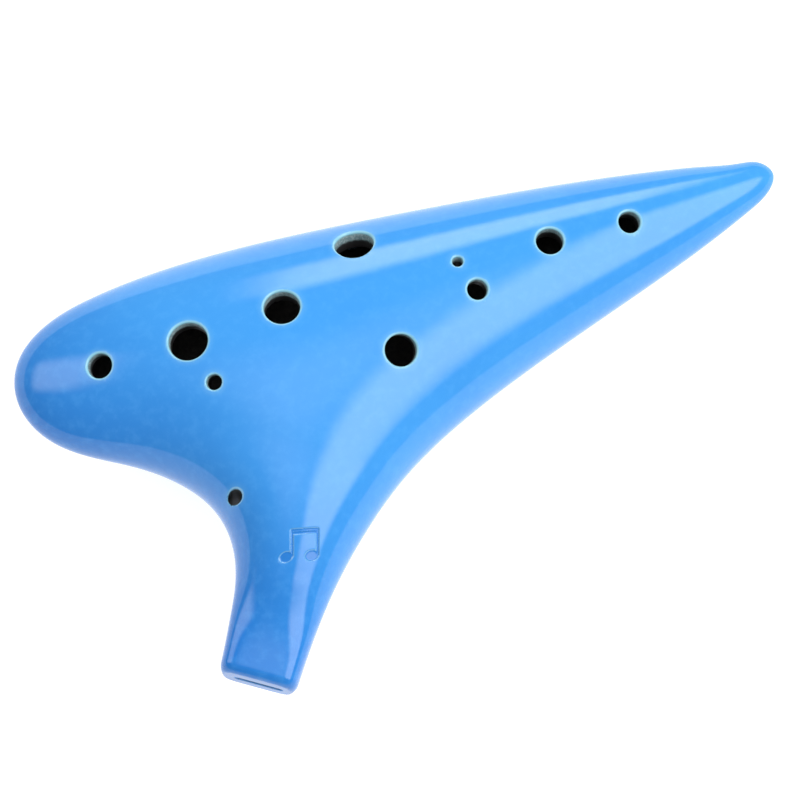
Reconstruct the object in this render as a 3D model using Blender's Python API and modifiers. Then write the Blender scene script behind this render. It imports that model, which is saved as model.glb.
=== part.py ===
"""A twelve-hole transverse ocarina in glazed clay, modelled as the pieces a maker joins before firing.

The frame: +X runs along the body towards its tail, -Y is the player's side with the mouthpiece,
+Z is the finger side. The origin is the middle of the flat that the belly rests on.
Plan points and sizes are in millimetres and become metres where a mesh is made.
"""

import math

import bmesh
import bpy
import numpy as np
from mathutils import Matrix, Vector

MM = 0.001
OBJECT_NAME = "ocarina"

# Plan outline of the body at the seam, anticlockwise from the tail. The mouthpiece runs on past its
# end plane here, so that the swell is even up to the cut.
BODY_OUTLINE = (
    (114.7, 19.0), (112.3, 22.3), (107.2, 23.3), (99.2, 24.5), (91.3, 25.65), (67.4, 28.15),
    (43.4, 29.8), (19.5, 31.0), (-4.6, 31.65), (-28.7, 30.8), (-44.6, 28.6), (-57.0, 24.7),
    (-65.2, 17.6), (-67.2, 9.8), (-64.0, 0.8), (-56.5, -6.0), (-45.6, -11.7), (-36.0, -18.3),
    (-29.6, -26.5), (-27.6, -36.2), (-28.9, -44.1), (-31.9, -51.6), (-37.9, -64.2), (-47.0, -82.0),
    (-47.6, -90.0), (-40.5, -92.6), (-34.0, -89.5), (-21.6, -72.5), (-16.8, -64.8), (-7.5, -51.7),
    (3.35, -39.7), (15.6, -29.2), (29.4, -20.9), (51.4, -11.0), (73.9, -2.2), (96.3, 6.8),
    (107.5, 12.0), (112.8, 15.4),
)
# Plan outline of the air chamber, about one wall inside the body and clear of the cord hole.
CHAMBER_OUTLINE = (
    (99.0, 17.5), (96.0, 19.8), (88.0, 21.2), (67.4, 23.4), (43.4, 25.1), (19.5, 26.3),
    (-4.6, 26.9), (-28.3, 26.1), (-43.5, 24.0), (-54.7, 20.6), (-61.0, 15.4), (-62.4, 9.9),
    (-60.2, 3.7), (-54.0, -1.9), (-43.0, -7.8), (-32.0, -13.6), (-22.5, -19.8), (-17.5, -26.0),
    (-15.0, -31.2), (-10.2, -34.9), (-4.3, -36.4), (1.0, -34.3), (12.2, -25.6), (27.0, -16.7),
    (49.4, -6.7), (72.2, 2.2), (88.0, 8.8), (96.0, 13.2),
)
OUTLINE_STEPS = 480          # points read off an outline's smooth curve
PLATE_STEPS = 120            # points of the flat plate that a solid starts from
SOURCE_OFFSET = 5.0          # how far outside the outline the film's sources stand

# The half depth is a factor times the root of a soap film's height over the outline.
BELLY_ROUNDNESS = 0.70
TAIL_ROUNDNESS = 0.90
TAIL_BLEND = (0.0, 105.0)    # x where the section turns from belly to tail
CHAMBER_ROUNDNESS = 0.62
CHAMBER_TAIL_ROUNDNESS = 0.72
FLAT_SHAVED = 0.8            # clay taken off the belly for the flat that it rests on

# The mouthpiece's own line in plan.
TIP = Vector((-29.5, -68.7))
LEAN = math.radians(29.7)    # its lean from -Y towards -X
OUTWARDS = Vector((-math.sin(LEAN), -math.cos(LEAN)))
ACROSS = Vector((math.cos(LEAN), -math.sin(LEAN)))
BEAK_HALF_DEPTH = 6.2
BEAK_FLATNESS = 24.0         # film height at which the beak's flat top has rounded off
BEAK_BLEND = (24.0, 2.0)     # distances behind the tip where the body ends and the beak is whole
NECK_ROUNDNESS = 0.84        # fuller than the belly, to hold the windway
NECK_BLEND = (54.0, 26.0)    # distances behind the tip where the neck starts and is whole
TIP_EDGE_RADIUS = 2.4

# The windway, the window and the labium, as distances behind the tip and heights from the seam.
WINDWAY_WIDTH = 11.2
WINDWAY_HEIGHT = 1.4
WINDWAY_START = 1.2          # the shells' front wall, which the slot is cut through
WINDWAY_END = 38.2
WINDWAY_DROP = math.radians(10.5)
POCKET_WIDTH = 14.2
POCKET_END = 38.9
POCKET_ROOF = ((0.0, 3.8), (12.0, 4.7), (POCKET_END, 9.2))
POCKET_FLOOR = ((0.0, -3.9), (12.0, -4.9), (POCKET_END, -10.4))
WINDOW_START = 38.5
WINDOW_END = 44.5
LABIUM_END = 59.0
LABIUM_WIDTH = 12.0
LABIUM_EDGE = 0.7            # thickness of the blowing edge
WINDOW_TOP = -4.0            # height inside the chamber that the window is cut up to
WALL = 4.7

GAP = 0.3                    # clearance between pieces that touch
SEAM_HALF = 0.3              # half the thickness of the slip between the two halves
BODY_VOXEL = 3.2
CHAMBER_VOXEL = 4.2
PLATE_HALF_DEPTH = 8.0
CHAMBER_PLATE_HALF_DEPTH = 6.0
FIT_ROUNDS = 8               # relax and refit passes
LAST_FITS = 4                # refits without relaxing, to end exactly on the form
PROBE = 0.02                 # step of the slopes measured by differences
SLIVER = 0.01                # points nearer than this are one
LONGEST_MOVE = 4.0           # most that one fit moves a point
LEAST_SLOPE = 0.2            # below this a form's distance is too flat to follow

# Finger holes on top and thumb holes below: x, y, diameter.
FINGER_HOLES = {
    "left_index": (-47.3, 9.5, 5.8),
    "left_middle": (-26.5, 9.1, 9.1),
    "left_middle_small": (-23.1, -2.0, 3.6),
    "left_ring": (-3.9, 11.3, 8.3),
    "left_little": (16.0, 23.2, 9.0),
    "right_index": (20.0, -5.2, 7.4),
    "right_middle": (40.5, 4.7, 4.7),
    "right_middle_small": (37.7, 12.3, 2.5),
    "right_ring": (59.5, 12.4, 6.3),
    "right_little": (78.6, 13.0, 5.1),
}
THUMB_HOLES = {
    "left_thumb": (-37.0, 6.0, 10.5),
    "right_thumb": (35.0, 1.0, 9.2),
}
CORD_HOLE = (-24.6, -27.5, 3.3)
HOLE_OUTSIDE = 3.0           # how far a hole's cutter stands proud of the clay
HOLE_INSIDE = 8.0            # and how far it reaches into it
LARGE_HOLE = 4.0             # holes wider than this are cut with more sides
LARGE_HOLE_SIDES = 24
SMALL_HOLE_SIDES = 14
FAR = 60.0                   # reach of a cutter that goes right through
PAST_TIP = 2.0               # how far the neck's cutters run past its ends

CLAY_BLUE = (0.075, 0.32, 0.80, 1.0)
PALE_SLIP = (0.62, 0.74, 0.80, 1.0)
BARE_CLAY = (0.055, 0.042, 0.036, 1.0)
GLAZE_ROUGHNESS = 0.15
CLAY_ROUGHNESS = 0.7


def smooth_step(t):
    t = np.clip(t, 0.0, 1.0)
    return t * t * (3.0 - 2.0 * t)


def closed_curve(points, count):
    """Reads count points off the closed cubic spline through the given ones."""
    knots = np.asarray(points, dtype=float)
    total = len(knots)
    spans = np.linalg.norm(np.roll(knots, -1, axis=0) - knots, axis=1)
    matrix = np.zeros((total, total))
    sides = np.zeros((total, 2))
    for i in range(total):
        after = (i + 1) % total
        matrix[i, i - 1] += spans[i - 1]
        matrix[i, i] += 2.0 * (spans[i - 1] + spans[i])
        matrix[i, after] += spans[i]
        rise_after = (knots[after] - knots[i]) / spans[i]
        rise_before = (knots[i] - knots[i - 1]) / spans[i - 1]
        sides[i] = 6.0 * (rise_after - rise_before)
    bends = np.linalg.solve(matrix, sides)
    starts = np.concatenate(([0.0], np.cumsum(spans)))
    places = np.linspace(0.0, starts[-1], count, endpoint=False)
    index = np.clip(np.searchsorted(starts, places, side="right") - 1, 0, total - 1)
    following = (index + 1) % total
    span = spans[index][:, None]
    left = (starts[index + 1] - places)[:, None]
    right = (places - starts[index])[:, None]
    curve = (bends[index] * left**3 + bends[following] * right**3) / (6.0 * span)
    curve += (knots[index] / span - bends[index] * span / 6.0) * left
    curve += (knots[following] / span - bends[following] * span / 6.0) * right
    return curve


class Film:
    """A soap film held on an outline and blown up evenly, from point sources outside the outline."""

    def __init__(self, outline):
        curve = closed_curve(outline, OUTLINE_STEPS)
        along = np.roll(curve, -1, axis=0) - np.roll(curve, 1, axis=0)
        along /= np.linalg.norm(along, axis=1)[:, None]
        outward = np.stack([along[:, 1], -along[:, 0]], axis=1)
        self.sources = (curve + SOURCE_OFFSET * outward)[::2]
        held = np.column_stack([self.reach(curve), np.ones(len(curve))])
        answer = np.linalg.lstsq(held, (curve**2).sum(axis=1) / 2.0, rcond=1e-12)[0]
        self.strengths = answer[:-1]
        self.level = answer[-1]

    def reach(self, plan):
        return np.log(np.linalg.norm(plan[:, None, :] - self.sources[None, :, :], axis=2))

    def height(self, plan):
        return self.reach(plan) @ self.strengths + self.level - (plan**2).sum(axis=1) / 2.0


def tail_share(plan):
    return smooth_step((plan[:, 0] - TAIL_BLEND[0]) / (TAIL_BLEND[1] - TAIL_BLEND[0]))


def behind_tip(plan):
    """Distance of plan points behind the mouthpiece's end."""
    return -(plan - np.array(TIP)) @ np.array(OUTWARDS)


def body_depth_squared(film, plan):
    height = film.height(plan)
    behind = behind_tip(plan)
    neck_share = smooth_step((NECK_BLEND[0] - behind) / (NECK_BLEND[0] - NECK_BLEND[1]))
    roundness = BELLY_ROUNDNESS + (TAIL_ROUNDNESS - BELLY_ROUNDNESS) * tail_share(plan)
    roundness += (NECK_ROUNDNESS - BELLY_ROUNDNESS) * neck_share
    share = smooth_step((BEAK_BLEND[0] - behind) / (BEAK_BLEND[0] - BEAK_BLEND[1]))
    beak = BEAK_HALF_DEPTH**2 * (1.0 - np.exp(-np.clip(height, -BEAK_FLATNESS, None) / BEAK_FLATNESS))
    return (1.0 - share) * roundness**2 * height + share * beak


def chamber_depth_squared(film, plan):
    swell = CHAMBER_TAIL_ROUNDNESS - CHAMBER_ROUNDNESS
    return (CHAMBER_ROUNDNESS + swell * tail_share(plan)) ** 2 * film.height(plan)


def skin_distance(depth_squared, film, points):
    """Near the surface, the distance of points inside a form given by its squared half depth."""
    plan = points[:, :2]
    depth = depth_squared(film, plan)
    slopes = [
        (depth_squared(film, plan + step) - depth_squared(film, plan - step)) / (2.0 * PROBE)
        for step in (np.array((PROBE, 0.0)), np.array((0.0, PROBE)))
    ]
    steepness = np.sqrt(slopes[0] ** 2 + slopes[1] ** 2 + 4.0 * points[:, 2] ** 2)
    return (depth - points[:, 2] ** 2) / np.maximum(steepness, 1.0)


def rounded_corner(first, second, radius):
    """Distance inside the overlap of two forms whose shared edge is rounded."""
    corner = np.hypot(np.maximum(radius - first, 0.0), np.maximum(radius - second, 0.0))
    return np.where(corner > 0.0, radius - corner, np.minimum(first, second))


def body_distance(film, points):
    skin = skin_distance(body_depth_squared, film, points)
    return rounded_corner(skin, behind_tip(points[:, :2]), TIP_EDGE_RADIUS)


def chamber_distance(film, points):
    return skin_distance(chamber_depth_squared, film, points)


def on_form(distance, film, points):
    """Moves points straight onto a form's surface, by one Newton step."""
    inside = distance(film, points)
    slope = np.zeros_like(points)
    for axis in range(3):
        step = np.zeros(3)
        step[axis] = PROBE
        slope[:, axis] = distance(film, points + step) - distance(film, points - step)
    slope /= 2.0 * PROBE
    size = np.maximum((slope**2).sum(axis=1), LEAST_SLOPE**2)
    move = -(inside / size)[:, None] * slope
    length = np.maximum(np.linalg.norm(move, axis=1), LONGEST_MOVE)
    return points + move * (LONGEST_MOVE / length)[:, None]


def tool_collection(name):
    collection = bpy.data.collections.new(name)
    bpy.context.scene.collection.children.link(collection)
    return collection


def principled(name, colour, roughness):
    material = bpy.data.materials.new(name)
    material.use_nodes = True
    shader = material.node_tree.nodes["Principled BSDF"]
    shader.inputs["Base Color"].default_value = colour
    shader.inputs["Roughness"].default_value = roughness
    shader.inputs["Metallic"].default_value = 0.0
    return material


def new_object(name, bm, collection, material=None):
    mesh = bpy.data.meshes.new(name)
    bmesh.ops.recalc_face_normals(bm, faces=bm.faces)
    bm.to_mesh(mesh)
    bm.free()
    obj = bpy.data.objects.new(name, mesh)
    collection.objects.link(obj)
    if material is not None:
        mesh.materials.append(material)
    return obj


def as_cutter(obj):
    obj.hide_render = True
    obj.display_type = "WIRE"
    return obj


def close_cut(bm, cut):
    edges = [piece for piece in cut["geom_cut"] if isinstance(piece, bmesh.types.BMEdge)]
    bmesh.ops.edgeloop_fill(bm, edges=edges)


def plate(outline, half_depth, ends_at_tip):
    """The flat plate with the given outline, in millimetres."""
    bm = bmesh.new()
    corners = [bm.verts.new((x, y, -half_depth)) for x, y in closed_curve(outline, PLATE_STEPS)]
    face = bm.faces.new(corners)
    lifted = bmesh.ops.extrude_face_region(bm, geom=[face])["geom"]
    top = [piece for piece in lifted if isinstance(piece, bmesh.types.BMVert)]
    bmesh.ops.translate(bm, verts=top, vec=(0.0, 0.0, 2.0 * half_depth))
    if ends_at_tip:
        everything = bm.verts[:] + bm.edges[:] + bm.faces[:]
        cut = bmesh.ops.bisect_plane(
            bm, geom=everything, plane_co=TIP.to_3d(), plane_no=OUTWARDS.to_3d(), clear_outer=True
        )
        close_cut(bm, cut)
    return bm


def blown_form(name, collection, start, film, distance, voxel):
    """Remeshes a plate evenly and fits it to the form: a closed, smooth, even-meshed solid.

    The plate is turned while it is remeshed, so that the mesh runs square to the mouthpiece's end.
    """
    turn_to_neck = Matrix.Rotation(LEAN, 4, "Z")
    start.transform(turn_to_neck)
    rough = new_object(name + "_plate", start, collection)
    remesh = rough.modifiers.new("even", "REMESH")
    remesh.mode = "VOXEL"
    remesh.voxel_size = voxel
    even = bpy.data.meshes.new_from_object(rough.evaluated_get(bpy.context.evaluated_depsgraph_get()))
    bpy.data.objects.remove(rough)
    bm = bmesh.new()
    bm.from_mesh(even)
    bm.transform(turn_to_neck.inverted())
    bpy.data.meshes.remove(even)
    for turn in range(FIT_ROUNDS + LAST_FITS):
        if turn < FIT_ROUNDS:
            bmesh.ops.smooth_vert(
                bm, verts=bm.verts, factor=0.5, use_axis_x=True, use_axis_y=True, use_axis_z=True
            )
        places = on_form(distance, film, np.array([vert.co for vert in bm.verts], dtype=float))
        for vert, place in zip(bm.verts, places):
            vert.co = place
    bmesh.ops.scale(bm, verts=bm.verts, vec=(MM, MM, MM))
    return new_object(name, bm, collection)


def half_depth_at(film, x, y):
    return math.sqrt(body_depth_squared(film, np.array([[x, y]]))[0])


def outward_at(film, x, y):
    """The outward direction of the finger side at a plan point."""
    slope_x = (half_depth_at(film, x + PROBE, y) - half_depth_at(film, x - PROBE, y)) / (2 * PROBE)
    slope_y = (half_depth_at(film, x, y + PROBE) - half_depth_at(film, x, y - PROBE)) / (2 * PROBE)
    return Vector((-slope_x, -slope_y, 1.0)).normalized()


def drill(name, collection, start, direction, length, diameter):
    """A round cutter from start along direction."""
    bm = bmesh.new()
    sides = LARGE_HOLE_SIDES if diameter > LARGE_HOLE else SMALL_HOLE_SIDES
    turn = direction.to_track_quat("Z", "Y").to_matrix().to_4x4()
    place = Matrix.Translation(start + direction * (length / 2.0)) @ turn
    bmesh.ops.create_cone(
        bm, cap_ends=True, segments=sides, radius1=diameter / 2.0, radius2=diameter / 2.0,
        depth=length, matrix=place,
    )
    bmesh.ops.scale(bm, verts=bm.verts, vec=(MM, MM, MM))
    return as_cutter(new_object(name, bm, collection))


def drill_holes(film, collection):
    for side, holes in ((1.0, FINGER_HOLES), (-1.0, THUMB_HOLES)):
        for name, (x, y, diameter) in holes.items():
            outward = outward_at(film, x, y)
            outward.z *= side
            surface = Vector((x, y, side * half_depth_at(film, x, y)))
            start = surface + outward * HOLE_OUTSIDE
            drill("cut_" + name, collection, start, -outward, HOLE_OUTSIDE + HOLE_INSIDE, diameter)
    x, y, diameter = CORD_HOLE
    drill("cut_cord_hole", collection, Vector((x, y, FAR / 2)), Vector((0, 0, -1)), FAR, diameter)


def neck_prism(name, collection, profile, width, material=None):
    """A solid with a profile of (distance behind the tip, height) and an even width across."""
    bm = bmesh.new()
    corners = []
    for behind, height in profile:
        place = TIP - OUTWARDS * behind - ACROSS * (width / 2.0)
        corners.append(bm.verts.new((place.x, place.y, height)))
    face = bm.faces.new(corners)
    lifted = bmesh.ops.extrude_face_region(bm, geom=[face])["geom"]
    far_side = [piece for piece in lifted if isinstance(piece, bmesh.types.BMVert)]
    bmesh.ops.translate(bm, verts=far_side, vec=(ACROSS * width).to_3d())
    bmesh.ops.scale(bm, verts=bm.verts, vec=(MM, MM, MM))
    return new_object(name, bm, collection, material)


def neck_half_depth(film, behind):
    place = TIP - OUTWARDS * behind
    return half_depth_at(film, place.x, place.y)


def windway_height(behind):
    return -behind * math.tan(WINDWAY_DROP)


def line_height(line, behind):
    """Height of a neck line at a distance behind the tip, run on level past its ends."""
    return float(np.interp(behind, [point[0] for point in line], [point[1] for point in line]))


def between_lines(lower, upper, start, end, clearance=0.0):
    """The profile between two neck lines, drawn in at top and bottom by a clearance."""
    bends = {point[0] for point in lower + upper if start < point[0] < end}
    stations = sorted(bends | {start, end})
    below = [(behind, line_height(lower, behind) + clearance) for behind in stations]
    above = [(behind, line_height(upper, behind) - clearance) for behind in stations]
    return below + above[::-1]


def windway_line(rise):
    """The windway's middle line, shifted up, as a neck line from ahead of the tip."""
    ends = (-PAST_TIP, WINDWAY_END + PAST_TIP)
    return tuple((behind, windway_height(behind) + rise) for behind in ends)


def cut_neck(collection):
    """The slot, the pocket for the windway's roof and floor, the window and the labium's seat."""
    half = WINDWAY_HEIGHT / 2.0
    slot = between_lines(windway_line(-half), windway_line(half), -PAST_TIP, WINDWAY_START + PAST_TIP)
    as_cutter(neck_prism("cut_slot", collection, slot, WINDWAY_WIDTH))
    pocket = between_lines(POCKET_FLOOR, POCKET_ROOF, WINDWAY_START, POCKET_END)
    as_cutter(neck_prism("cut_pocket", collection, pocket, POCKET_WIDTH))
    window_end = WINDOW_END + GAP
    window = ((WINDOW_START, -FAR), (window_end, -FAR), (window_end, WINDOW_TOP), (WINDOW_START, WINDOW_TOP))
    as_cutter(neck_prism("cut_window", collection, window, WINDWAY_WIDTH))
    seat_end = LABIUM_END + GAP
    seat = ((WINDOW_END, -FAR), (seat_end, -FAR), (seat_end, WINDOW_TOP), (WINDOW_END, WINDOW_TOP))
    as_cutter(neck_prism("cut_labium_seat", collection, seat, LABIUM_WIDTH + 2 * GAP))


def windway_roof(collection, material):
    """The block that closes the neck above the windway."""
    ceiling = windway_line(WINDWAY_HEIGHT / 2.0 - GAP)
    profile = between_lines(ceiling, POCKET_ROOF, WINDWAY_START + GAP, WINDWAY_END, GAP)
    return neck_prism("windway_roof", collection, profile, POCKET_WIDTH - 2 * GAP, material)


def windway_floor(collection, cutters, material):
    """The slab under the windway, with the air channel cut along its top."""
    half = WINDWAY_HEIGHT / 2.0
    profile = between_lines(POCKET_FLOOR, windway_line(half), WINDWAY_START + GAP, WINDWAY_END, GAP)
    slab = neck_prism("windway_floor", collection, profile, POCKET_WIDTH - 2 * GAP, material)
    reach = (-PAST_TIP, WINDWAY_END + PAST_TIP)
    channel = between_lines(windway_line(-half), windway_line(WINDWAY_HEIGHT), *reach)
    tool = as_cutter(neck_prism("cut_channel", cutters, channel, WINDWAY_WIDTH))
    add_boolean(slab, "channel", "DIFFERENCE", tool)
    return slab


def labium(film, collection, material):
    """The wedge whose thin edge splits the air, with its ramp facing down."""
    start = WINDOW_END + GAP
    edge = windway_height(start)
    belly = -neck_half_depth(film, LABIUM_END)
    profile = (
        (start, edge - LABIUM_EDGE / 2.0), (LABIUM_END, belly),
        (LABIUM_END, belly + WALL), (start, edge + LABIUM_EDGE / 2.0),
    )
    return neck_prism("labium", collection, profile, LABIUM_WIDTH, material)


def add_boolean(obj, name, operation, tool):
    modifier = obj.modifiers.new(name, "BOOLEAN")
    modifier.operation = operation
    modifier.solver = "EXACT"
    if isinstance(tool, bpy.types.Collection):
        modifier.operand_type = "COLLECTION"
        modifier.collection = tool
    else:
        modifier.object = tool


def slice_between(bm, lowest, highest):
    """Keeps what lies between two heights, in metres, and closes the cuts."""
    for height, direction in ((lowest, -1.0), (highest, 1.0)):
        if height is None:
            continue
        everything = bm.verts[:] + bm.edges[:] + bm.faces[:]
        cut = bmesh.ops.bisect_plane(
            bm, geom=everything, dist=1e-7, plane_co=(0.0, 0.0, height),
            plane_no=(0.0, 0.0, direction), clear_outer=True,
        )
        edges = [piece for piece in cut["geom_cut"] if isinstance(piece, bmesh.types.BMEdge)]
        bmesh.ops.triangle_fill(bm, use_beauty=True, use_dissolve=False, edges=edges)


def take_layer(name, whole, collection, material, lowest, highest):
    """One node of the fired body: the clay between two heights."""
    bm = bmesh.new()
    bm.from_mesh(whole)
    bmesh.ops.remove_doubles(bm, verts=bm.verts, dist=SLIVER * MM)
    slice_between(bm, lowest, highest)
    return new_object(name, bm, collection, material)


def lift(collections, height):
    """Raises everything so that the belly's flat is at zero."""
    for collection in collections:
        for obj in collection.objects:
            obj.data.transform(Matrix.Translation((0.0, 0.0, height)))


def main():
    for obj in list(bpy.data.objects):
        bpy.data.objects.remove(obj)
    parts = tool_collection(OBJECT_NAME)
    cutters = tool_collection("cutters")
    neck_cutters = tool_collection("neck_cutters")
    glazed = principled("glazed_clay", CLAY_BLUE, GLAZE_ROUGHNESS)
    slip = principled("slip", PALE_SLIP, CLAY_ROUGHNESS)
    bare = principled("bare_clay", BARE_CLAY, CLAY_ROUGHNESS)

    film = Film(BODY_OUTLINE)
    hollow_film = Film(CHAMBER_OUTLINE)
    body = blown_form("body", parts, plate(BODY_OUTLINE, PLATE_HALF_DEPTH, True), film,
                      body_distance, BODY_VOXEL)
    as_cutter(blown_form("cut_chamber", cutters, plate(CHAMBER_OUTLINE, CHAMBER_PLATE_HALF_DEPTH, False),
                         hollow_film, chamber_distance, CHAMBER_VOXEL))
    drill_holes(film, cutters)
    cut_neck(cutters)
    add_boolean(body, "hollows", "DIFFERENCE", cutters)
    whole = bpy.data.meshes.new_from_object(body.evaluated_get(bpy.context.evaluated_depsgraph_get()))
    bpy.data.objects.remove(body)

    rest = -(half_depth_at(film, 0.0, 0.0) - FLAT_SHAVED)
    joint = (SEAM_HALF + GAP) * MM
    take_layer("upper_shell", whole, parts, glazed, joint, None)
    take_layer("slip_seam", whole, parts, slip, -SEAM_HALF * MM, SEAM_HALF * MM)
    take_layer("lower_shell", whole, parts, glazed, rest * MM, -joint)
    bpy.data.meshes.remove(whole)
    windway_roof(parts, bare)
    windway_floor(parts, neck_cutters, bare)
    labium(film, parts, glazed)
    lift((parts, cutters, neck_cutters), -rest * MM)


main()
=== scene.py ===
"""Looks for a glazed clay ocarina: the two halves with their glaze, the joint, the windway and a stage.

The form is worked out in millimetres about the plane where the halves meet, with x along the body
towards the tail, -y towards the mouthpiece and z to the finger side, and is then set into the frame.
"""

import math

import bmesh
import bpy
import numpy as np
from mathutils import Matrix, Vector


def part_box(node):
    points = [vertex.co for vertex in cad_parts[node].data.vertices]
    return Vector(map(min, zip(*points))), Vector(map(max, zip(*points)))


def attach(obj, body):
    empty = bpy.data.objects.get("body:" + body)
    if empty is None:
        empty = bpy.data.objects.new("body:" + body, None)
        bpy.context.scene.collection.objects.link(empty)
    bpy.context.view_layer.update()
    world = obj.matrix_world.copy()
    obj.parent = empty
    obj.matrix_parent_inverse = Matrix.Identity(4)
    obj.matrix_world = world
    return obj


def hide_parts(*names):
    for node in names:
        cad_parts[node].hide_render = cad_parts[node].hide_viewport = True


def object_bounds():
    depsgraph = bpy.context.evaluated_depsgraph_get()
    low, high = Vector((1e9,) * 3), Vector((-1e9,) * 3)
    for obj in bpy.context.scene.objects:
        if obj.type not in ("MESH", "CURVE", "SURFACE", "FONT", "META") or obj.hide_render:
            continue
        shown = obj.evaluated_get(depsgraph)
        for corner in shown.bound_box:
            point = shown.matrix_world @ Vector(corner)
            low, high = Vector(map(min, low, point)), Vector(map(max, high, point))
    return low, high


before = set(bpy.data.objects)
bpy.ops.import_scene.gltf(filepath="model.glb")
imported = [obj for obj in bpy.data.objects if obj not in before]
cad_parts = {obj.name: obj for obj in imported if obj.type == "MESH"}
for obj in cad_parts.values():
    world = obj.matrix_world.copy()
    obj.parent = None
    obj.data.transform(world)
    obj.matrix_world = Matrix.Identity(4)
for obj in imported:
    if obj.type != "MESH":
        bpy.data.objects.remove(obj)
CAD_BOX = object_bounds()

bl_info = {
    "name": "Glazed Ocarina",
    "version": (1, 0, 0),
    "blender": (4, 5, 0),
    "location": "View3D > Sidebar > Ocarina",
    "description": "Makes the clay halves, windway, labium and stage of a glazed ocarina",
    "category": "Object",
}

MM = 0.001
SEAM_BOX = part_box("slip_seam")
SEAM = (SEAM_BOX[0].z + SEAM_BOX[1].z) / 2.0
REST = -SEAM / MM            # height of the belly's flat below the seam

# Plan outline of the body at the seam, anticlockwise from the tail. The mouthpiece runs on past its
# end plane here, so that the swell is even up to the cut.
BODY_OUTLINE = (
    (114.7, 19.0), (112.3, 22.3), (107.2, 23.3), (99.2, 24.5), (91.3, 25.65), (67.4, 28.15),
    (43.4, 29.8), (19.5, 31.0), (-4.6, 31.65), (-28.7, 30.8), (-44.6, 28.6), (-57.0, 24.7),
    (-65.2, 17.6), (-67.2, 9.8), (-64.0, 0.8), (-56.5, -6.0), (-45.6, -11.7), (-36.0, -18.3),
    (-29.6, -26.5), (-27.6, -36.2), (-28.9, -44.1), (-31.9, -51.6), (-37.9, -64.2), (-47.0, -82.0),
    (-47.6, -90.0), (-40.5, -92.6), (-34.0, -89.5), (-21.6, -72.5), (-16.8, -64.8), (-7.5, -51.7),
    (3.35, -39.7), (15.6, -29.2), (29.4, -20.9), (51.4, -11.0), (73.9, -2.2), (96.3, 6.8),
    (107.5, 12.0), (112.8, 15.4),
)
# Plan outline of the air chamber, about one wall inside the body and clear of the cord hole.
CHAMBER_OUTLINE = (
    (99.0, 17.5), (96.0, 19.8), (88.0, 21.2), (67.4, 23.4), (43.4, 25.1), (19.5, 26.3),
    (-4.6, 26.9), (-28.3, 26.1), (-43.5, 24.0), (-54.7, 20.6), (-61.0, 15.4), (-62.4, 9.9),
    (-60.2, 3.7), (-54.0, -1.9), (-43.0, -7.8), (-32.0, -13.6), (-22.5, -19.8), (-17.5, -26.0),
    (-15.0, -31.2), (-10.2, -34.9), (-4.3, -36.4), (1.0, -34.3), (12.2, -25.6), (27.0, -16.7),
    (49.4, -6.7), (72.2, 2.2), (88.0, 8.8), (96.0, 13.2),
)
OUTLINE_STEPS = 480          # points read off an outline's smooth curve
PLATE_STEPS = 160            # points of the flat plate that a form starts from
SOURCE_OFFSET = 5.0          # how far outside the outline the film's sources stand
AT_ONCE = 20000              # points worked out together

# The half depth is a factor times the root of a soap film's height over the outline.
BELLY_ROUNDNESS = 0.70
TAIL_ROUNDNESS = 0.90
TAIL_BLEND = (0.0, 105.0)    # x where the section turns from belly to tail
CHAMBER_ROUNDNESS = 0.62
CHAMBER_TAIL_ROUNDNESS = 0.72
FLAT_SOFTNESS = 0.5          # how softly the belly's flat runs out

# The mouthpiece's own line in plan.
TIP = Vector((-29.5, -68.7))
LEAN = math.radians(29.7)    # its lean from -y towards -x
OUTWARDS = Vector((-math.sin(LEAN), -math.cos(LEAN)))
ACROSS = Vector((math.cos(LEAN), -math.sin(LEAN)))
BEAK_HALF_DEPTH = 6.2
BEAK_FLATNESS = 24.0         # film height at which the beak's flat top has rounded off
BEAK_BLEND = (24.0, 2.0)     # distances behind the tip where the body ends and the beak is whole
NECK_ROUNDNESS = 0.84        # fuller than the belly, to hold the windway
NECK_BLEND = (54.0, 26.0)    # distances behind the tip where the neck starts and is whole
TIP_EDGE_RADIUS = 2.4

# The windway, the window and the labium, as distances behind the tip and heights from the seam.
WINDWAY_WIDTH = 11.2
WINDWAY_HEIGHT = 1.4
WINDWAY_START = 1.2          # the front wall, which the slot is cut through
WINDWAY_DROP = math.radians(10.5)
POCKET_WIDTH = 14.2
POCKET_END = 38.9
POCKET_BEND = 12.0
POCKET_HEIGHTS = {           # floor and roof at three places behind the tip
    WINDWAY_START: (-4.0, 3.9),
    POCKET_BEND: (-4.9, 4.7),
    POCKET_END: (-10.4, 9.2),
}
POCKET_LAP = 2.0             # how far the pocket's rear part runs into its front part
WINDOW_START = 38.5
WINDOW_END = 44.5
LABIUM_END = 59.0
LABIUM_WIDTH = 12.6
LABIUM_EDGE = 0.7            # thickness of the blowing edge
WINDOW_TOP = -4.0            # height inside the chamber that the window is cut up to
WALL = 4.7
GAP = 0.3

# Finger holes on top and thumb holes below: x, y, diameter.
FINGER_HOLES = {
    "left_index": (-47.3, 9.5, 5.8),
    "left_middle": (-26.5, 9.1, 9.1),
    "left_middle_small": (-23.1, -2.0, 3.6),
    "left_ring": (-3.9, 11.3, 8.3),
    "left_little": (16.0, 23.2, 9.0),
    "right_index": (20.0, -5.2, 7.4),
    "right_middle": (40.5, 4.7, 4.7),
    "right_middle_small": (37.7, 12.3, 2.5),
    "right_ring": (59.5, 12.4, 6.3),
    "right_little": (78.6, 13.0, 5.1),
}
THUMB_HOLES = {
    "left_thumb": (-37.0, 6.0, 10.5),
    "right_thumb": (35.0, 1.0, 9.2),
}
CORD_HOLE = (-24.6, -27.5, 3.3)
HOLE_OUTSIDE = 3.0           # how far a hole's cutter stands proud of the clay
HOLE_INSIDE = 8.0            # and how far it reaches into it
LARGE_HOLE = 4.0             # holes wider than this have the wider lip
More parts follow.
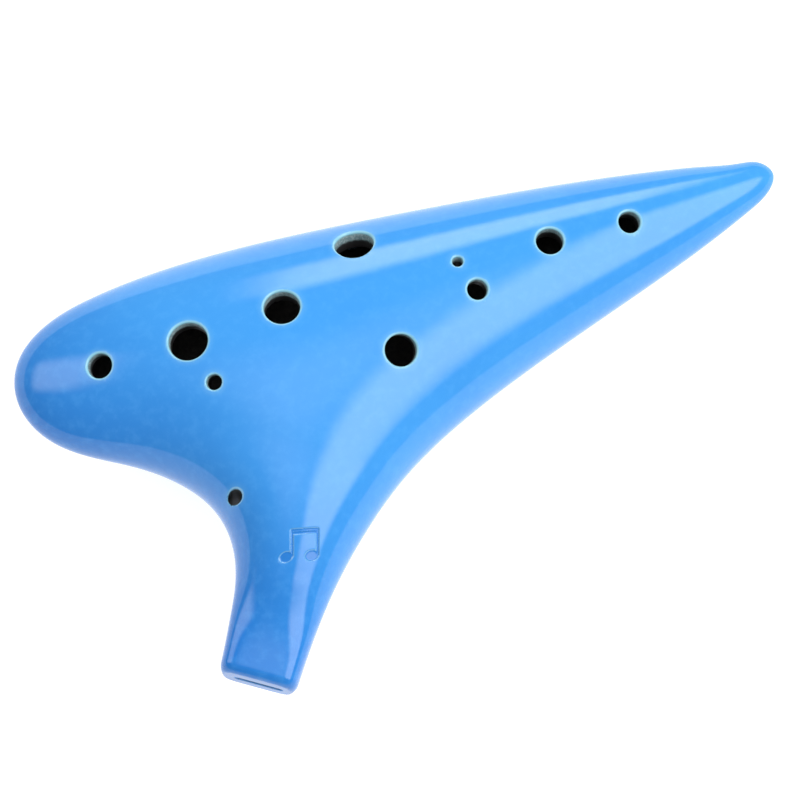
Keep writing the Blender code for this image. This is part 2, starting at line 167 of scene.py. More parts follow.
FAR = 60.0                   # reach of a cutter that goes right through
SLOT_REACH = 2.4             # how far the slot is cut before the pocket takes over

# The generic maker's press on the neck, a pair of beamed notes, in its own upright plane.
MARK_PLACE = (-12.7, -42.2)
MARK_TURN = math.radians(-14.2)
MARK_REACH = 7.2
NOTE_HEADS = ((-3.5, -2.9), (2.3, -2.3))
HEAD_HALF_LENGTH = 1.55
HEAD_HALF_WIDTH = 1.1
HEAD_TILT = math.radians(24.0)
NOTE_LINES = (
    ((-2.15, -2.6), (-2.15, 2.9), (3.65, 3.5), (3.65, -2.0)),
    ((-2.15, 2.3), (3.65, 2.9)),
)
STROKE_HALF = 0.30
PRESS_SOFTNESS = 0.26        # width of the press's sloping side

# The glaze's colour deepens towards the neck and the thumb end, along one line in plan, partly as painted
# shade.
DARKENING_START = (6.0, -19.0)
DARKENING_AZIMUTH = math.radians(30.8)
DARKENING_REACH = 62.0

# How the glaze's maps run.
RIM_END = 1.25               # where a hole's pale rim ends, in lip radii from its wall
RIM_FADE = 0.9               # and over how many lip radii it fades
WALL_START = 0.9             # where a hole's wall starts, in lip radii under the skin
WALL_FADE = 0.35
CLAY_FADE = 0.5
SLOT_FADE = 0.4
SLOT_RIM = 0.02              # share of the slot's map from which its rim isn't pale
SLOT_WALL = 0.15             # and from which its wall is bare
SLOT_PALENESS = 0.2
PRESS_PALENESS = 0.5
PRESS_FOOT = 0.6             # share of the press's depth down to which its side is pale
CORD_HOLE_PALENESS = 0.6
# How far the cord hole's wall is darkened towards the clay's colour: painted shade inside the hole.
CORD_HOLE_PAINTED_SHADE = 0.9

# What counts as bare clay, as distances from the forms.
ON_CHAMBER = 0.25
CLEAR_OF_HOLE = 0.1
IN_POCKET = 0.15
UNDER_SKIN = 0.5
ON_SEAM = 1e-3
LEVEL = 0.99                 # upright part of a rim face's normal

PROBE = 0.02                 # step of the slopes measured by differences
COARSE_VOXEL = 3.2
LONGEST_MOVE = 4.0           # most that one fit moves a point
LEAST_SLOPE = 0.2            # below this a form's distance is too flat to follow
NO_HOLE = 99.0
CHAMBER_LEAST_DEPTH = 2.0    # the chamber keeps deeper than this in the clay
CHAMBER_LEAST_BEHIND = 37.5  # and further than this behind the tip
ON_FORM = 0.06               # a point this near the form lies on it
LIP_MARGIN = 0.35            # how far past a lip the mesh is made finer
FINE_MOVE = 0.8              # most that a fit of the fine mesh moves a point
PLATE_HALF_DEPTH = 8.0
CHAMBER_PLATE_HALF_DEPTH = 6.0
HOLE_SEGMENTS = 48
SHARP_ANGLE = math.radians(40.0)
FACING_ANGLE = math.radians(50.0)
LABIUM_SHARP_ANGLE = math.radians(30.0)
LABIUM_PAST_END = 0.2        # how far the wedge runs on under the belly's clay
LABIUM_PAST_SIDE = 0.02      # and into each side of its seat
LABIUM_GRID = (44, 36)


def smooth_step(t):
    t = np.clip(t, 0.0, 1.0)
    return t * t * (3.0 - 2.0 * t)


def closed_curve(points, count):
    """Reads count points off the closed cubic spline through the given ones."""
    knots = np.asarray(points, dtype=float)
    total = len(knots)
    spans = np.linalg.norm(np.roll(knots, -1, axis=0) - knots, axis=1)
    matrix = np.zeros((total, total))
    sides = np.zeros((total, 2))
    for i in range(total):
        after = (i + 1) % total
        matrix[i, i - 1] += spans[i - 1]
        matrix[i, i] += 2.0 * (spans[i - 1] + spans[i])
        matrix[i, after] += spans[i]
        rise_after = (knots[after] - knots[i]) / spans[i]
        rise_before = (knots[i] - knots[i - 1]) / spans[i - 1]
        sides[i] = 6.0 * (rise_after - rise_before)
    bends = np.linalg.solve(matrix, sides)
    starts = np.concatenate(([0.0], np.cumsum(spans)))
    places = np.linspace(0.0, starts[-1], count, endpoint=False)
    index = np.clip(np.searchsorted(starts, places, side="right") - 1, 0, total - 1)
    following = (index + 1) % total
    span = spans[index][:, None]
    left = (starts[index + 1] - places)[:, None]
    right = (places - starts[index])[:, None]
    curve = (bends[index] * left**3 + bends[following] * right**3) / (6.0 * span)
    curve += (knots[index] / span - bends[index] * span / 6.0) * left
    curve += (knots[following] / span - bends[following] * span / 6.0) * right
    return curve


class Film:
    """A soap film held on an outline and blown up evenly, from point sources outside the outline."""

    def __init__(self, outline):
        curve = closed_curve(outline, OUTLINE_STEPS)
        along = np.roll(curve, -1, axis=0) - np.roll(curve, 1, axis=0)
        along /= np.linalg.norm(along, axis=1)[:, None]
        outward = np.stack([along[:, 1], -along[:, 0]], axis=1)
        self.sources = (curve + SOURCE_OFFSET * outward)[::2]
        reach = np.log(np.linalg.norm(curve[:, None, :] - self.sources[None, :, :], axis=2))
        held = np.column_stack([reach, np.ones(len(curve))])
        answer = np.linalg.lstsq(held, (curve**2).sum(axis=1) / 2.0, rcond=1e-12)[0]
        self.strengths = answer[:-1]
        self.level = answer[-1]

    def height_and_slope(self, plan):
        heights, slopes = [], []
        for start in range(0, len(plan), AT_ONCE):
            part = plan[start:start + AT_ONCE]
            length = (part**2).sum(axis=1)
            squared = length[:, None] + (self.sources**2).sum(axis=1) - 2.0 * part @ self.sources.T
            heights.append(0.5 * np.log(squared) @ self.strengths + self.level - length / 2.0)
            pull = self.strengths / squared
            slopes.append(part * (pull.sum(axis=1)[:, None] - 1.0) - pull @ self.sources)
        return np.concatenate(heights), np.concatenate(slopes)


BODY_FILM = Film(BODY_OUTLINE)
CHAMBER_FILM = Film(CHAMBER_OUTLINE)


def tail_share(plan):
    return smooth_step((plan[:, 0] - TAIL_BLEND[0]) / (TAIL_BLEND[1] - TAIL_BLEND[0]))


def behind_tip(plan):
    """Distance of plan points behind the mouthpiece's end."""
    return -(plan - np.array(TIP)) @ np.array(OUTWARDS)


def body_depth_squared(height, plan):
    behind = behind_tip(plan)
    neck_share = smooth_step((NECK_BLEND[0] - behind) / (NECK_BLEND[0] - NECK_BLEND[1]))
    roundness = BELLY_ROUNDNESS + (TAIL_ROUNDNESS - BELLY_ROUNDNESS) * tail_share(plan)
    roundness += (NECK_ROUNDNESS - BELLY_ROUNDNESS) * neck_share
    share = smooth_step((BEAK_BLEND[0] - behind) / (BEAK_BLEND[0] - BEAK_BLEND[1]))
    beak = BEAK_HALF_DEPTH**2 * (1.0 - np.exp(-np.clip(height, -BEAK_FLATNESS, None) / BEAK_FLATNESS))
    return (1.0 - share) * roundness**2 * height + share * beak


def chamber_depth_squared(height, plan):
    swell = CHAMBER_TAIL_ROUNDNESS - CHAMBER_ROUNDNESS
    return (CHAMBER_ROUNDNESS + swell * tail_share(plan)) ** 2 * height


def depth_and_slope(depth_rule, film, plan):
    """A form's squared half depth at plan points, and how it falls away in plan."""
    height, fall = film.height_and_slope(plan)
    slope = np.empty_like(plan)
    for axis in range(2):
        step = np.zeros(2)
        step[axis] = PROBE
        ahead = depth_rule(height + fall[:, axis] * PROBE, plan + step)
        before = depth_rule(height - fall[:, axis] * PROBE, plan - step)
        slope[:, axis] = (ahead - before) / (2.0 * PROBE)
    return depth_rule(height, plan), slope


def skin(depth_rule, film, points):
    """Distance inside a form near its surface, with the direction in which it grows."""
    depth, slope = depth_and_slope(depth_rule, film, points[:, :2])
    grow = np.column_stack([slope, -2.0 * points[:, 2]])
    steepness = np.maximum(np.linalg.norm(grow, axis=1), 1.0)
    return (depth - points[:, 2] ** 2) / steepness, grow / steepness[:, None]


def rounded_corner(first, second, radius):
    """What lies inside both forms, with their shared edge rounded. The radius may differ by point."""
    near_first = np.maximum(radius - first[0], 0.0)
    near_second = np.maximum(radius - second[0], 0.0)
    corner = np.hypot(near_first, near_second)
    safe = np.where(corner > 0.0, corner, 1.0)
    first_is_less = (first[0] < second[0])[:, None]
    grow = (near_first[:, None] * first[1] + near_second[:, None] * second[1]) / safe[:, None]
    inside = np.where(corner > 0.0, radius - corner, np.minimum(first[0], second[0]))
    return inside, np.where((corner > 0.0)[:, None], grow, np.where(first_is_less, first[1], second[1]))


def soft_least(first, second, softness):
    """What lies inside both forms, where they meet at so low an angle that the edge melts away."""
    blend = np.maximum(softness - np.abs(first[0] - second[0]), 0.0) / softness
    inside = np.minimum(first[0], second[0]) - blend**2 * softness / 4.0
    share = np.where(first[0] < second[0], 1.0 - blend / 2.0, blend / 2.0)[:, None]
    return inside, share * first[1] + (1.0 - share) * second[1]


def even(direction, count):
    return np.broadcast_to(np.array(direction, dtype=float), (count, 3))


def outer_form(points):
    """The body without its holes."""
    form = skin(body_depth_squared, BODY_FILM, points)
    end = (behind_tip(points[:, :2]), even((-OUTWARDS.x, -OUTWARDS.y, 0.0), len(points)))
    form = rounded_corner(form, end, TIP_EDGE_RADIUS)
    flat = (points[:, 2] - REST, even((0.0, 0.0, 1.0), len(points)))
    return soft_least(form, flat, FLAT_SOFTNESS)


def chamber_form(points):
    return skin(chamber_depth_squared, CHAMBER_FILM, points)


def hollow_form(points, depth):
    """Distance outside the chamber. It is only worked out well inside the body, where the film holds."""
    distance = np.full(len(points), NO_HOLE)
    away = np.zeros_like(points)
    near = (depth > CHAMBER_LEAST_DEPTH) & (behind_tip(points[:, :2]) > CHAMBER_LEAST_BEHIND)
    inside, grow = chamber_form(points[near])
    distance[near] = -inside
    away[near] = -grow
    return distance, away


def half_depth_at(x, y):
    depth = depth_and_slope(body_depth_squared, BODY_FILM, np.array([[x, y]]))[0]
    return math.sqrt(depth[0])


def outward_at(x, y):
    """The outward direction of the finger side at a plan point."""
    depth, slope = depth_and_slope(body_depth_squared, BODY_FILM, np.array([[x, y]]))
    fall = slope[0] / (2.0 * math.sqrt(depth[0]))
    return Vector((-fall[0], -fall[1], 1.0)).normalized()


def hole_axes():
    """Every round hole as (point on the skin, outward direction, radius, side); side 0 goes through."""
    axes = []
    for side, holes in ((1.0, FINGER_HOLES), (-1.0, THUMB_HOLES)):
        for x, y, diameter in holes.values():
            outward = outward_at(x, y)
            outward.z *= side
            axes.append((Vector((x, y, side * half_depth_at(x, y))), outward, diameter / 2.0, side))
    x, y, diameter = CORD_HOLE
    axes.append((Vector((x, y, half_depth_at(x, y))), Vector((0.0, 0.0, 1.0)), diameter / 2.0, 0.0))
    return axes


HOLES = hole_axes()


def pocket_profile(start, end, lap):
    """The pocket between two of its stations as a profile, run on by lap before the first."""
    (floor, roof), (far_floor, far_roof) = POCKET_HEIGHTS[start], POCKET_HEIGHTS[end]
    share = lap / (end - start)
    return (
        (start - lap, floor - share * (far_floor - floor)), (end, far_floor),
        (end, far_roof), (start - lap, roof - share * (far_roof - roof)),
    )


def drop_profile(start, end):
    """A profile that is open downwards, from inside the chamber."""
    return ((start, -FAR), (end, -FAR), (end, WINDOW_TOP), (start, WINDOW_TOP))


# The neck's cavities, each as a profile of (distance behind the tip, height) and a width.
POCKETS = (
    (pocket_profile(WINDWAY_START, POCKET_BEND, 0.0), POCKET_WIDTH),
    (pocket_profile(POCKET_BEND, POCKET_END, POCKET_LAP), POCKET_WIDTH),
)
OPEN_BELOW = (
    (drop_profile(WINDOW_START, WINDOW_END + GAP), WINDWAY_WIDTH),
    (drop_profile(WINDOW_END, LABIUM_END), LABIUM_WIDTH),
)


def cavity(points, profile, width):
    """Distance outside a straight-sided cavity across the neck, and the direction away from it."""
    behind, across, _ = neck_place(points)
    best = np.abs(across) - width / 2.0
    side = np.sign(across)
    away = np.column_stack([side * ACROSS.x, side * ACROSS.y, np.zeros(len(points))])
    for start, end in zip(profile, profile[1:] + profile[:1]):
        normal = Vector((end[1] - start[1], start[0] - end[0])).normalized()
        found = (behind - start[0]) * normal.x + (points[:, 2] - start[1]) * normal.y
        direction = (-OUTWARDS.x * normal.x, -OUTWARDS.y * normal.x, normal.y)
        further = found > best
        best = np.where(further, found, best)
        away = np.where(further[:, None], np.array(direction), away)
    return best, away


def neck_place(points):
    """Points as distance behind the tip, distance across, and height over the windway's middle."""
    from_tip = points[:, :2] - np.array(TIP)
    behind = -from_tip @ np.array(OUTWARDS)
    return behind, from_tip @ np.array(ACROSS), points[:, 2] + behind * math.tan(WINDWAY_DROP)


def slot_distance(points):
    """Distance outside the windway's slot in the mouthpiece's end, which has round ends."""
    behind, across, rise = neck_place(points)
    radius = WINDWAY_HEIGHT / 2.0
    past = np.maximum(np.abs(across) - (WINDWAY_WIDTH / 2.0 - radius), 0.0) * np.sign(across)
    reach = np.maximum(np.hypot(past, rise), PROBE)
    direction = np.column_stack([past * ACROSS.x, past * ACROSS.y, rise]) / reach[:, None]
    near = behind < SLOT_REACH
    return np.where(near, reach - radius, NO_HOLE), direction


def nearest_pocket(points):
    """Distance outside the pocket for the windway's roof and floor, and the direction away from it."""
    front, rear = (cavity(points, profile, width) for profile, width in POCKETS)
    nearer = rear[0] < front[0]
    return np.where(nearer, rear[0], front[0]), np.where(nearer[:, None], rear[1], front[1])


def nearest_hole(points, sizes):
    """Distance outside the nearest hole, the direction away from it, and that hole's lip radius."""
    distance, away = slot_distance(points)
    lip = np.full(len(points), sizes.slot_lip / MM)
    for profile, width in OPEN_BELOW:
        found, direction = cavity(points, profile, width)
        nearer = found < distance
        distance = np.where(nearer, found, distance)
        away = np.where(nearer[:, None], direction, away)
    for middle, outward, radius, side in HOLES:
        offset = points - np.array(middle)
        axis = np.array(outward)
        offset = offset - (offset @ axis)[:, None] * axis
        reach = np.maximum(np.linalg.norm(offset, axis=1), PROBE)
        found = np.where(points[:, 2] * side >= 0.0, reach - radius, NO_HOLE)
        nearer = found < distance
        distance = np.where(nearer, found, distance)
        away = np.where(nearer[:, None], offset / reach[:, None], away)
        wide = sizes.lip if 2.0 * radius > LARGE_HOLE else sizes.small_lip
        lip = np.where(nearer, wide / MM, lip)
    return distance, away, lip


def stroke_distance(spots, line):
    """Distance of spots from a line of straight runs."""
    best = np.full(len(spots), NO_HOLE)
    for start, end in zip(line[:-1], line[1:]):
        start, run = np.array(start), np.array(end) - np.array(start)
        share = np.clip((spots - start) @ run / (run @ run), 0.0, 1.0)
        best = np.minimum(best, np.linalg.norm(spots - start - share[:, None] * run, axis=1))
    return best


def mark_spots(plan):
    """Plan points in the mark's own upright plane."""
    cosine, sine = math.cos(MARK_TURN), math.sin(MARK_TURN)
    turn = np.array(((cosine, sine), (-sine, cosine)))
    return (plan - np.array(MARK_PLACE)) @ turn.T


def mark_share(plan):
    """How deeply the mark is pressed at plan points, from 0 outside it to 1 on its floor."""
    spots = mark_spots(plan)
    edge = np.minimum(*(stroke_distance(spots, line) for line in NOTE_LINES)) - STROKE_HALF
    for head in NOTE_HEADS:
        aside = spots - np.array(head)
        along = aside @ np.array((math.cos(HEAD_TILT), math.sin(HEAD_TILT))) / HEAD_HALF_LENGTH
        across = aside @ np.array((-math.sin(HEAD_TILT), math.cos(HEAD_TILT))) / HEAD_HALF_WIDTH
        edge = np.minimum(edge, (np.hypot(along, across) - 1.0) * HEAD_HALF_WIDTH)
    return smooth_step(0.5 - edge / (2.0 * PRESS_SOFTNESS))


def pressed(form, points, depth):
    """Presses the mark into the finger side of a form."""
    inside, grow = form[0].copy(), form[1].copy()
    near = np.linalg.norm(points[:, :2] - np.array(MARK_PLACE), axis=1) < MARK_REACH
    near &= points[:, 2] > 0.0
    plan = points[near, :2]
    inside[near] -= depth * mark_share(plan)
    for axis in range(2):
        step = np.zeros(2)
        step[axis] = PROBE
        rise = mark_share(plan + step) - mark_share(plan - step)
        grow[near, axis] -= depth * rise / (2.0 * PROBE)
    return inside, grow


def clay_form(points, sizes):
    """The fired clay: the body less its holes, its slot, its mark and its chamber."""
    distance, away, lip = nearest_hole(points, sizes)
    outer = outer_form(points)
    body = pressed(outer, points, sizes.press_depth / MM)
    clay = rounded_corner(body, (distance, away), lip)
    inner_edge = sizes.inner_edge / MM
    clay = rounded_corner(clay, hollow_form(points, outer[0]), inner_edge)
    return rounded_corner(clay, nearest_pocket(points), inner_edge)


def on_form(form, points, longest):
    """Moves points straight onto a form's surface, by one Newton step."""
    inside, grow = form(points)
    size = np.maximum((grow**2).sum(axis=1), LEAST_SLOPE**2)
    move = -(inside / size)[:, None] * grow
    length = np.maximum(np.linalg.norm(move, axis=1), longest)
    return points + move * (longest / length)[:, None]


def points_of(bm):
    return np.array([vert.co for vert in bm.verts], dtype=float).reshape(-1, 3)


def relax(bm, form, rounds, last_fits, longest):
    """Evens a mesh out on a form in rounds, and then only fits it to the form."""
    for turn in range(rounds + last_fits):
        if turn < rounds:
            bmesh.ops.smooth_vert(
                bm, verts=bm.verts, factor=0.5, use_axis_x=True, use_axis_y=True, use_axis_z=True
            )
        places = on_form(form, points_of(bm), longest)
        for vert, place in zip(bm.verts, places.tolist()):
            vert.co = place


def new_object(name, bm, recalculate=True):
    mesh = bpy.data.meshes.new(name)
    if recalculate:
        bmesh.ops.recalc_face_normals(bm, faces=bm.faces)
    bm.to_mesh(mesh)
    bm.free()
    obj = bpy.data.objects.new(name, mesh)
    bpy.context.scene.collection.objects.link(obj)
    return obj


def finished_mesh(obj):
    """The mesh that an object's modifiers make, as a bmesh; the object is removed."""
    mesh = bpy.data.meshes.new_from_object(obj.evaluated_get(bpy.context.evaluated_depsgraph_get()))
    bpy.data.objects.remove(obj)
    bm = bmesh.new()
    bm.from_mesh(mesh)
    bpy.data.meshes.remove(mesh)
    return bm


def voxel_remesh(bm, size):
    """An even mesh of the same solid, with its rows running square to the mouthpiece's end."""
    turn = Matrix.Rotation(LEAN, 4, "Z")
    bm.transform(turn)
    rough = new_object("rough", bm)
    remesh = rough.modifiers.new("even", "REMESH")
    remesh.mode = "VOXEL"
    remesh.voxel_size = size
    bm = finished_mesh(rough)
    bm.transform(turn.inverted())
    return bm


def plate(outline, half_depth, ends_at_tip):
    bm = bmesh.new()
    corners = [bm.verts.new((x, y, -half_depth)) for x, y in closed_curve(outline, PLATE_STEPS)]
    face = bm.faces.new(corners)
    lifted = bmesh.ops.extrude_face_region(bm, geom=[face])["geom"]
    top = [piece for piece in lifted if isinstance(piece, bmesh.types.BMVert)]
    bmesh.ops.translate(bm, verts=top, vec=(0.0, 0.0, 2.0 * half_depth))
    if ends_at_tip:
        everything = bm.verts[:] + bm.edges[:] + bm.faces[:]
        cut = bmesh.ops.bisect_plane(
            bm, geom=everything, plane_co=TIP.to_3d(), plane_no=OUTWARDS.to_3d(), clear_outer=True
        )
        rim = [piece for piece in cut["geom_cut"] if isinstance(piece, bmesh.types.BMEdge)]
        bmesh.ops.edgeloop_fill(bm, edges=rim)
    return bm


def blown(outline, half_depth, ends_at_tip, form, name):
    """A smooth closed form with points 1.6 mm apart, grown from a flat plate."""
    bm = voxel_remesh(plate(outline, half_depth, ends_at_tip), COARSE_VOXEL)
    relax(bm, form, 8, 2, LONGEST_MOVE)
    rough = new_object(name, bm)
    finer = rough.modifiers.new("finer", "SUBSURF")
    finer.levels = finer.render_levels = 1
    bm = finished_mesh(rough)
    relax(bm, form, 0, 3, LONGEST_MOVE)
    return bm


def neck_prism(name, profile, width):
    """A solid with a profile of (distance behind the tip, height) and an even width across."""
    bm = bmesh.new()
    corners = []
    for behind, height in profile:
        place = TIP - OUTWARDS * behind - ACROSS * (width / 2.0)
        corners.append(bm.verts.new((place.x, place.y, height)))
    face = bm.faces.new(corners)
    lifted = bmesh.ops.extrude_face_region(bm, geom=[face])["geom"]
    far_side = [piece for piece in lifted if isinstance(piece, bmesh.types.BMVert)]
    bmesh.ops.translate(bm, verts=far_side, vec=(ACROSS * width).to_3d())
    return new_object(name, bm)


def round_cutters():
    """A round cutter for every hole."""
    cutters = []
    for middle, outward, radius, side in HOLES:
        length = HOLE_OUTSIDE + HOLE_INSIDE
        centre = middle + outward * (HOLE_OUTSIDE - length / 2.0)
        if side == 0.0:
            length = FAR
            centre = Vector((middle.x, middle.y, 0.0))
        turn = outward.to_track_quat("Z", "Y").to_matrix().to_4x4()
        bm = bmesh.new()
        bmesh.ops.create_cone(
            bm, cap_ends=True, segments=HOLE_SEGMENTS, radius1=radius, radius2=radius, depth=length,
            matrix=Matrix.Translation(centre) @ turn,
        )
        cutters.append(new_object("cut_hole", bm))
    return cutters


def slot_profile(reach):
    """The slot as a profile that follows the windway's drop."""
    half = WINDWAY_HEIGHT / 2.0
    start = -HOLE_OUTSIDE
    near, far = (-behind * math.tan(WINDWAY_DROP) for behind in (start, reach))
    return ((start, near - half), (reach, far - half), (reach, far + half), (start, near + half))


def carve(bm, cutters):
    """Takes the cutters out of a solid and removes them."""
    solid = new_object("solid", bm)
    tools = bpy.data.collections.new("cutters")
    bpy.context.scene.collection.children.link(tools)
    for cutter in cutters:
        bpy.context.scene.collection.objects.unlink(cutter)
        tools.objects.link(cutter)
    cut = solid.modifiers.new("cut", "BOOLEAN")
    cut.operation = "DIFFERENCE"
    cut.solver = "EXACT"
    cut.operand_type = "COLLECTION"
    cut.collection = tools
    bm = finished_mesh(solid)
    for cutter in cutters:
        bpy.data.objects.remove(cutter)
    bpy.data.collections.remove(tools)
    return bm


def halve_edges(bm, wanted):
    """Halves the mesh where the rule for the edges' middles says so."""
    middles = np.array([(edge.verts[0].co + edge.verts[1].co) / 2.0 for edge in bm.edges], dtype=float)
    edges = [edge for edge, chosen in zip(bm.edges, wanted(middles)) if chosen]
    bmesh.ops.subdivide_edges(bm, edges=edges, cuts=1, use_grid_fill=True)


def under_mark(points):
    near = np.linalg.norm(points[:, :2] - np.array(MARK_PLACE), axis=1) < MARK_REACH - 1.0
    return near & (points[:, 2] > 0.0)


def fired_clay(sizes):
    """The whole body as one fine closed mesh, with its holes' lips rounded."""
    def form(points):
        return clay_form(points, sizes)

    def at_lip(points):
        hole, _, lip = nearest_hole(points, sizes)
        near = lip + LIP_MARGIN
        return (hole < near) & (outer_form(points)[0] < near) | under_mark(points)

    bm = blown(BODY_OUTLINE, PLATE_HALF_DEPTH, True, outer_form, "body")
    chamber = blown(CHAMBER_OUTLINE, CHAMBER_PLATE_HALF_DEPTH, False, chamber_form, "hollow")
    hollow = new_object("chamber", chamber)
    slot = neck_prism("cut_slot", slot_profile(SLOT_REACH), WINDWAY_WIDTH)
    cavities = [neck_prism("cut_neck", profile, width) for profile, width in POCKETS + OPEN_BELOW]
    bm = carve(bm, [hollow, slot] + cavities + round_cutters())
    bm = voxel_remesh(bm, sizes.mesh_step / MM)
    relax(bm, form, 4, 0, FINE_MOVE)
    halve_edges(bm, at_lip)
    halve_edges(bm, under_mark)
    relax(bm, form, 1, 3, FINE_MOVE)
    return bm


def half_of(whole, upper):
    """One side of the seam, with its rim closed."""
    bm = bmesh.new()
    bm.from_mesh(whole)
    everything = bm.verts[:] + bm.edges[:] + bm.faces[:]
    cut = bmesh.ops.bisect_plane(
        bm, geom=everything, dist=1e-5, plane_co=(0.0, 0.0, 0.0),
        plane_no=(0.0, 0.0, -1.0 if upper else 1.0), clear_outer=True,
    )
    rim = [piece for piece in cut["geom_cut"] if isinstance(piece, bmesh.types.BMEdge)]
    bmesh.ops.triangle_fill(bm, use_beauty=True, use_dissolve=False, edges=rim)
    return bm


def read(items, name, width=1, kind=float):
    """A value, or a row of values, of every item."""
    values = np.empty(len(items) * width, dtype=kind)
    items.foreach_get(name, values)
    return values if width == 1 else values.reshape(-1, width)


def glaze_maps(points, sizes):
    """The glaze's maps by name, each with a value from 0 to 1 at every point."""
    body = outer_form(points)[0]
    hole, _, lip = nearest_hole(points, sizes)
    halo = sizes.halo / MM
    slot = np.exp(-np.clip(slot_distance(points)[0], 0.0, None) / SLOT_FADE)
    rim = smooth_step((lip * RIM_END - hole) / (lip * RIM_FADE))
    haze = smooth_step((halo - hole) / halo)
    thin = np.maximum(rim, sizes.haze * haze) * (body < halo)
    thin *= np.where(slot > SLOT_RIM, SLOT_PALENESS, 1.0)
    wall = smooth_step((body - lip * WALL_START) / WALL_FADE)
    deep = smooth_step((body - sizes.glazed_wall / MM) / CLAY_FADE)
    deep = np.maximum(deep, wall * (slot > SLOT_WALL))
    x, y, diameter = CORD_HOLE
    from_cord_hole = np.linalg.norm(points[:, :2] - np.array((x, y)), axis=1) - diameter / 2.0
    in_cord_hole = from_cord_hole < halo
    thin = np.where(in_cord_hole, CORD_HOLE_PALENESS * thin, thin)
    # Painted shade: the cord hole's wall is darkened nearly to the clay's colour.
    deep = np.where(in_cord_hole, np.maximum(deep, CORD_HOLE_PAINTED_SHADE * wall), deep)
    share = mark_share(points[:, :2]) * (points[:, 2] > 0.0)
    press = 4.0 * share * (1.0 - share) * (share < PRESS_FOOT)
    # The darkening towards the neck and the thumb end is partly the glaze's colour and partly painted shade.
    line = np.array((math.cos(DARKENING_AZIMUTH), math.sin(DARKENING_AZIMUTH)))
    toward_tail = (points[:, :2] - np.array(DARKENING_START)) @ line
    return {
        "thin": np.maximum(thin, PRESS_PALENESS * press), "wall": wall, "deep": deep, "pressed": share,
        "deeper_glaze_and_shade": smooth_step(-toward_tail / DARKENING_REACH),
    }


def bare_faces(mesh, normals, sizes):
    """Whether each face is bare clay: the chamber's wall, the joint's rim or the neck's pocket."""
    centres = read(mesh.polygons, "center", 3)
    depth = outer_form(centres)[0]
    clear = nearest_hole(centres, sizes)[0] > CLEAR_OF_HOLE
    on_chamber = (hollow_form(centres, depth)[0] < ON_CHAMBER) & clear
    on_rim = (np.abs(centres[:, 2]) < ON_SEAM) & (np.abs(normals[:, 2]) > LEVEL)
    in_pocket = (nearest_pocket(centres)[0] < IN_POCKET) & (depth > UNDER_SKIN)
    return on_chamber | on_rim | in_pocket


def set_exact_normals(mesh, normals, inside, grow):
    """Takes the normals from the form wherever the mesh lies on it and faces the same way."""
    corner_points = read(mesh.loops, "vertex_index", kind=np.int32)
    starts = read(mesh.polygons, "loop_start", kind=np.int32)
    totals = read(mesh.polygons, "loop_total", kind=np.int32)
    corner_faces = np.empty(len(mesh.loops), dtype=np.int32)
    corners = np.concatenate([np.arange(s, s + t) for s, t in zip(starts, totals)])
    corner_faces[corners] = np.repeat(np.arange(len(mesh.polygons)), totals)
    outward = -grow / np.maximum(np.linalg.norm(grow, axis=1), 1e-6)[:, None]
    facing = (outward[corner_points] * normals[corner_faces]).sum(axis=1)
    exact = (np.abs(inside[corner_points]) < ON_FORM) & (facing > math.cos(FACING_ANGLE))
    mesh.normals_split_custom_set(np.where(exact[:, None], outward[corner_points], 0.0).tolist())


def dress(obj, materials, sizes):
    """Gives a clay piece its finishes, its glaze maps and exact normals, and sets it in the frame."""
    mesh = obj.data
    for material in materials:
        mesh.materials.append(material)
    points = read(mesh.vertices, "co", 3)
    for name, values in glaze_maps(points, sizes).items():
        layer = mesh.attributes.new(name, "FLOAT", "POINT")
        layer.data.foreach_set("value", values.astype(np.float32))
    normals = read(mesh.polygons, "normal", 3)
    bare = bare_faces(mesh, normals, sizes)
    mesh.polygons.foreach_set("material_index", bare.astype(np.int32))
    mesh.shade_smooth()
    mesh.set_sharp_from_angle(angle=SHARP_ANGLE)
    set_exact_normals(mesh, normals, *clay_form(points, sizes))
    mesh.transform(Matrix.Translation((0.0, 0.0, SEAM)) @ Matrix.Scale(MM, 4))
    mesh.update()


# ------------------------------------------------------------------------------------- finishes

def linear(colour):
    """A display colour from 0 to 255 as linear values for a shader."""
    values = [channel / 255.0 for channel in colour]
    return tuple(v / 12.92 if v <= 0.04045 else ((v + 0.055) / 1.055) ** 2.4 for v in values) + (1.0,)


class Tree:
    """Short calls for building a node tree."""

    def __init__(self, tree):
        self.tree = tree

    def add(self, kind, **settings):
        node = self.tree.nodes.new(kind)
        for key, value in settings.items():
            setattr(node, key, value)
        return node

    def link(self, source, target):
        self.tree.links.new(source, target)

    def fill(self, socket, value):
        """Links a socket to another, or sets it to a plain value."""
        if isinstance(value, bpy.types.NodeSocket):
            self.link(value, socket)
        else:
            socket.default_value = value

    def ramp(self, source, stops):
        node = self.add("ShaderNodeMapRange", interpolation_type="SMOOTHSTEP")
        for key, value in zip(("From Min", "From Max", "To Min", "To Max"), stops):
            node.inputs[key].default_value = value
        self.link(source, node.inputs["Value"])
        return node.outputs["Result"]

    def math(self, operation, *values):
        node = self.add("ShaderNodeMath", operation=operation)
        for socket, value in zip(node.inputs, values):
            self.fill(socket, value)
        return node.outputs[0]


